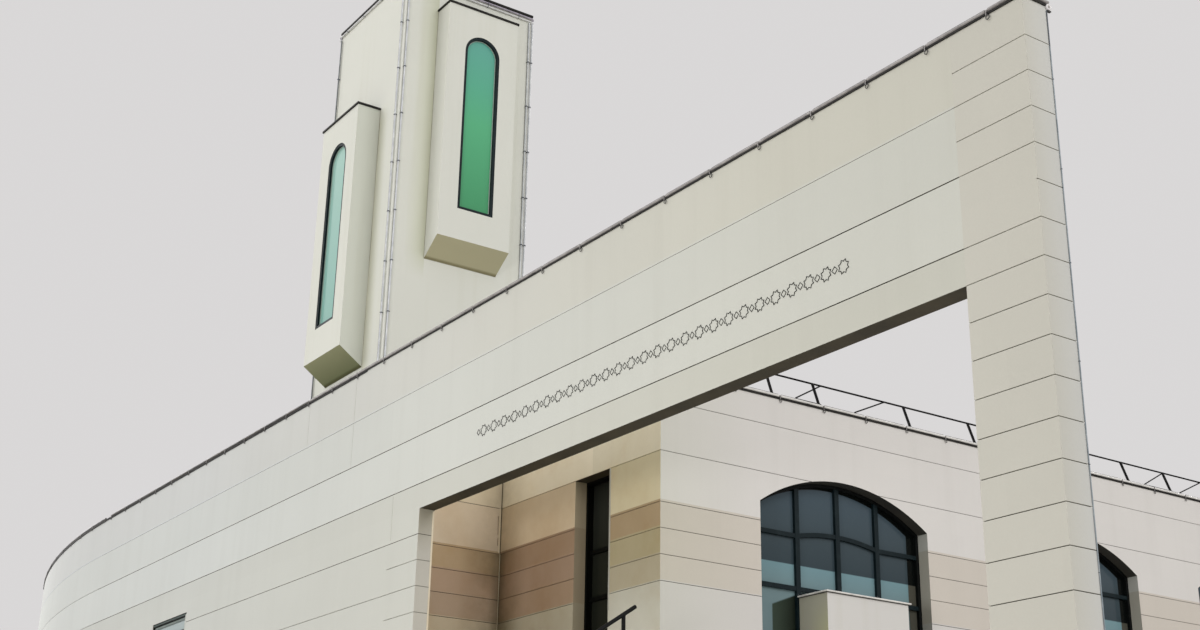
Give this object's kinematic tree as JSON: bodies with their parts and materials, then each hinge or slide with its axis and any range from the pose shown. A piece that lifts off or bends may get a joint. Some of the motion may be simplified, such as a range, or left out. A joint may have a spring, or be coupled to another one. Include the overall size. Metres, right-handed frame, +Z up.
{
  "type": "mosque building",
  "caption": "Stone-clad mosque with a portal screen wall curving round at its left end, a hall with arched windows, an outdoor stair and a square minaret with window oriels.",
  "frame": {"origin": "middle of the plan at ground level", "axes": "+X right along the front wall, +Y back away from it, +Z up"},
  "size_m": [39.6312, 26.3921, 18.98],
  "materials": {
    "wall_stone": "honed limestone cladding in courses",
    "hall_stone": "honed limestone cladding with darker bands",
    "render": "fine painted render",
    "concrete": "fair-faced concrete",
    "coping_metal": "folded dark coated sheet",
    "frame_metal": "dark green coated profiles",
    "dark_glass": "dark tinted panes",
    "green_glass": "green tinted panes",
    "rail_steel": "dark coated steel",
    "guard_steel": "galvanised steel"
  },
  "bodies": {
    "root": {"portal_pier": "wall_stone", "portal_beam": "wall_stone", "front_wall": "wall_stone", "curved_wall_1": "wall_stone", "curved_wall_2": "wall_stone", "corner_wall_1": "wall_stone", "corner_wall_2": "wall_stone", "left_wall": "wall_stone", "right_wall": "hall_stone", "back_wall": "hall_stone", "recess_back_wall": "hall_stone", "recess_side_wall": "hall_stone", "upper_floor": "concrete", "roof_slab": "concrete", "stair_lower_flight": "concrete", "stair_upper_flight": "concrete", "stair_landing": "concrete", "front_coping": "coping_metal", "curved_coping": "coping_metal", "parapet_coping": "coping_metal", "minaret_roof": "coping_metal", "side_block_coping": "coping_metal", "right_window_frame_1": "frame_metal", "right_window_frame_2": "frame_metal", "right_window_frame_3": "frame_metal", "slot_window_frame": "frame_metal", "front_window_frame": "frame_metal", "right_oriel_frame": "frame_metal", "front_oriel_frame": "frame_metal", "left_oriel_frame": "frame_metal", "back_oriel_frame": "frame_metal", "right_window_glass_1": "dark_glass", "right_window_glass_2": "dark_glass", "right_window_glass_3": "dark_glass", "slot_window_glass": "dark_glass", "front_window_glass": "dark_glass", "left_window_glass": "dark_glass", "back_window_glass": "dark_glass", "right_oriel_glass": "green_glass", "front_oriel_glass": "green_glass", "left_oriel_glass": "green_glass", "back_oriel_glass": "green_glass", "minaret_front_wall": "render", "minaret_back_wall": "render", "minaret_right_wall": "render", "minaret_left_wall": "render", "right_oriel_body": "render", "front_oriel_body": "render", "left_oriel_body": "render", "back_oriel_body": "render", "side_block": "render", "stair_right_handrail": "rail_steel", "stair_left_handrail": "rail_steel", "roof_guard_rail": "guard_steel"}
  },
  "joints": []
}
